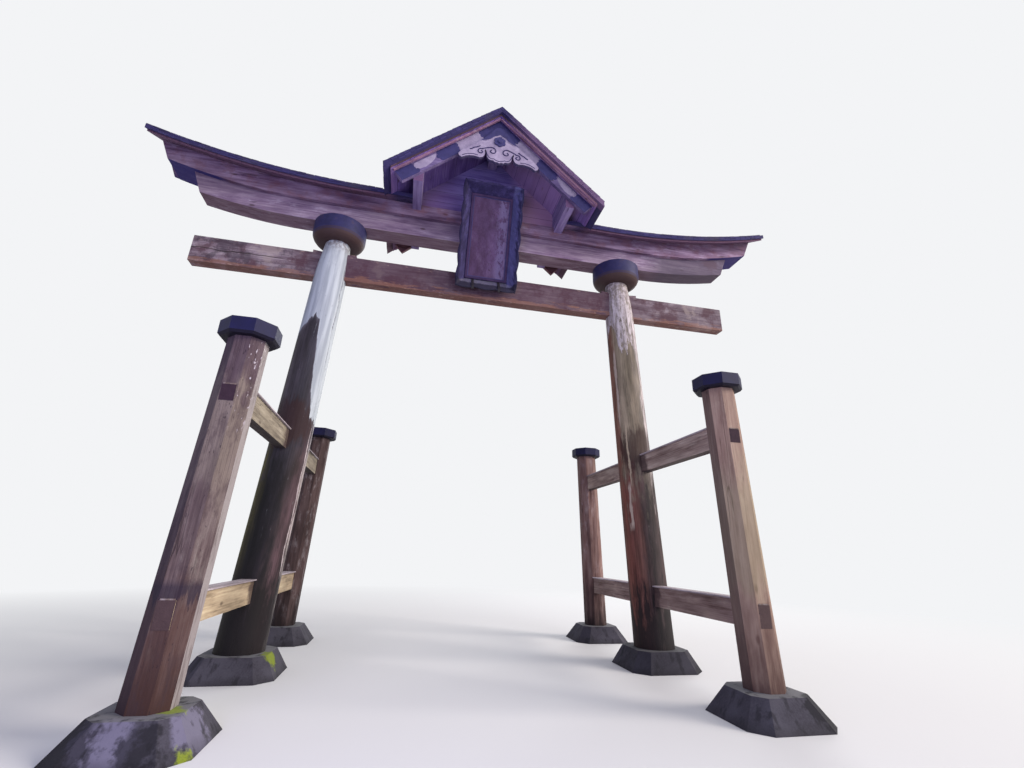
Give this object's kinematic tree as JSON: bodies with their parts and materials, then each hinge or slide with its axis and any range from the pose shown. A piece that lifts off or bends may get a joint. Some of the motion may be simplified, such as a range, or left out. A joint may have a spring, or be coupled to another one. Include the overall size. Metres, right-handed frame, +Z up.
{
  "type": "timber shrine gate",
  "caption": "Free-standing timber gate: round leaning pillars braced by side posts and rails, a curved double lintel with a shingled roof, a gable over its middle and a bare plaque.",
  "frame": {"origin": "on the ground, in the middle of the passage between the two main pillars", "axes": "+X along the lintels to the right seen from the front, +Y from front to back, +Z up"},
  "size_m": [9.97, 5.06, 8.024],
  "materials": {
    "stone": "rough, weathered, mossy",
    "pillar_timber": "worn pale coating over bare brown-grey timber",
    "grey_timber": "weathered, unpainted",
    "dark_paint": "matt dark blue-black paint, worn",
    "shingle": "weathered split shingles",
    "sheet_copper": "dull weathered sheet metal",
    "cream_paint": "faded cream paint on timber",
    "plaque_timber": "weathered red-brown",
    "dark_iron": "rusty wrought iron"
  },
  "bodies": {
    "root": {"footing_left": "stone", "footing_right": "stone", "post_footings": "stone", "pillar_left": "pillar_timber", "pillar_right": "pillar_timber", "ring_left": "dark_paint", "ring_right": "dark_paint", "post_front_left": "grey_timber", "post_front_right": "grey_timber", "post_back_left": "grey_timber", "post_back_right": "grey_timber", "post_caps": "dark_paint", "rail_upper_left": "grey_timber", "rail_upper_right": "grey_timber", "rail_lower_left": "grey_timber", "rail_lower_right": "grey_timber", "tie_beam": "grey_timber", "tie_wedges": "grey_timber", "centre_strut": "grey_timber", "lower_lintel": "grey_timber", "upper_lintel": "grey_timber", "lintel_boards_left": "grey_timber", "lintel_boards_right": "grey_timber", "lintel_shingles_left": "shingle", "lintel_shingles_right": "shingle", "lintel_ridge_caps": "sheet_copper", "purlin_left": "grey_timber", "purlin_right": "grey_timber", "ridge_beam": "grey_timber", "gable_wall_front": "grey_timber", "gable_wall_back": "grey_timber", "king_posts": "grey_timber", "gable_boards_left": "grey_timber", "gable_boards_right": "grey_timber", "gable_shingles_left": "shingle", "gable_shingles_right": "shingle", "gable_ridge_cap": "sheet_copper", "barge_front_left": "cream_paint", "barge_front_right": "cream_paint", "barge_back_left": "cream_paint", "barge_back_right": "cream_paint", "pendant_front": "cream_paint", "pendant_back": "cream_paint", "plaque_panel": "plaque_timber", "plaque_frame": "dark_paint", "plaque_brackets": "dark_iron"}
  },
  "joints": []
}
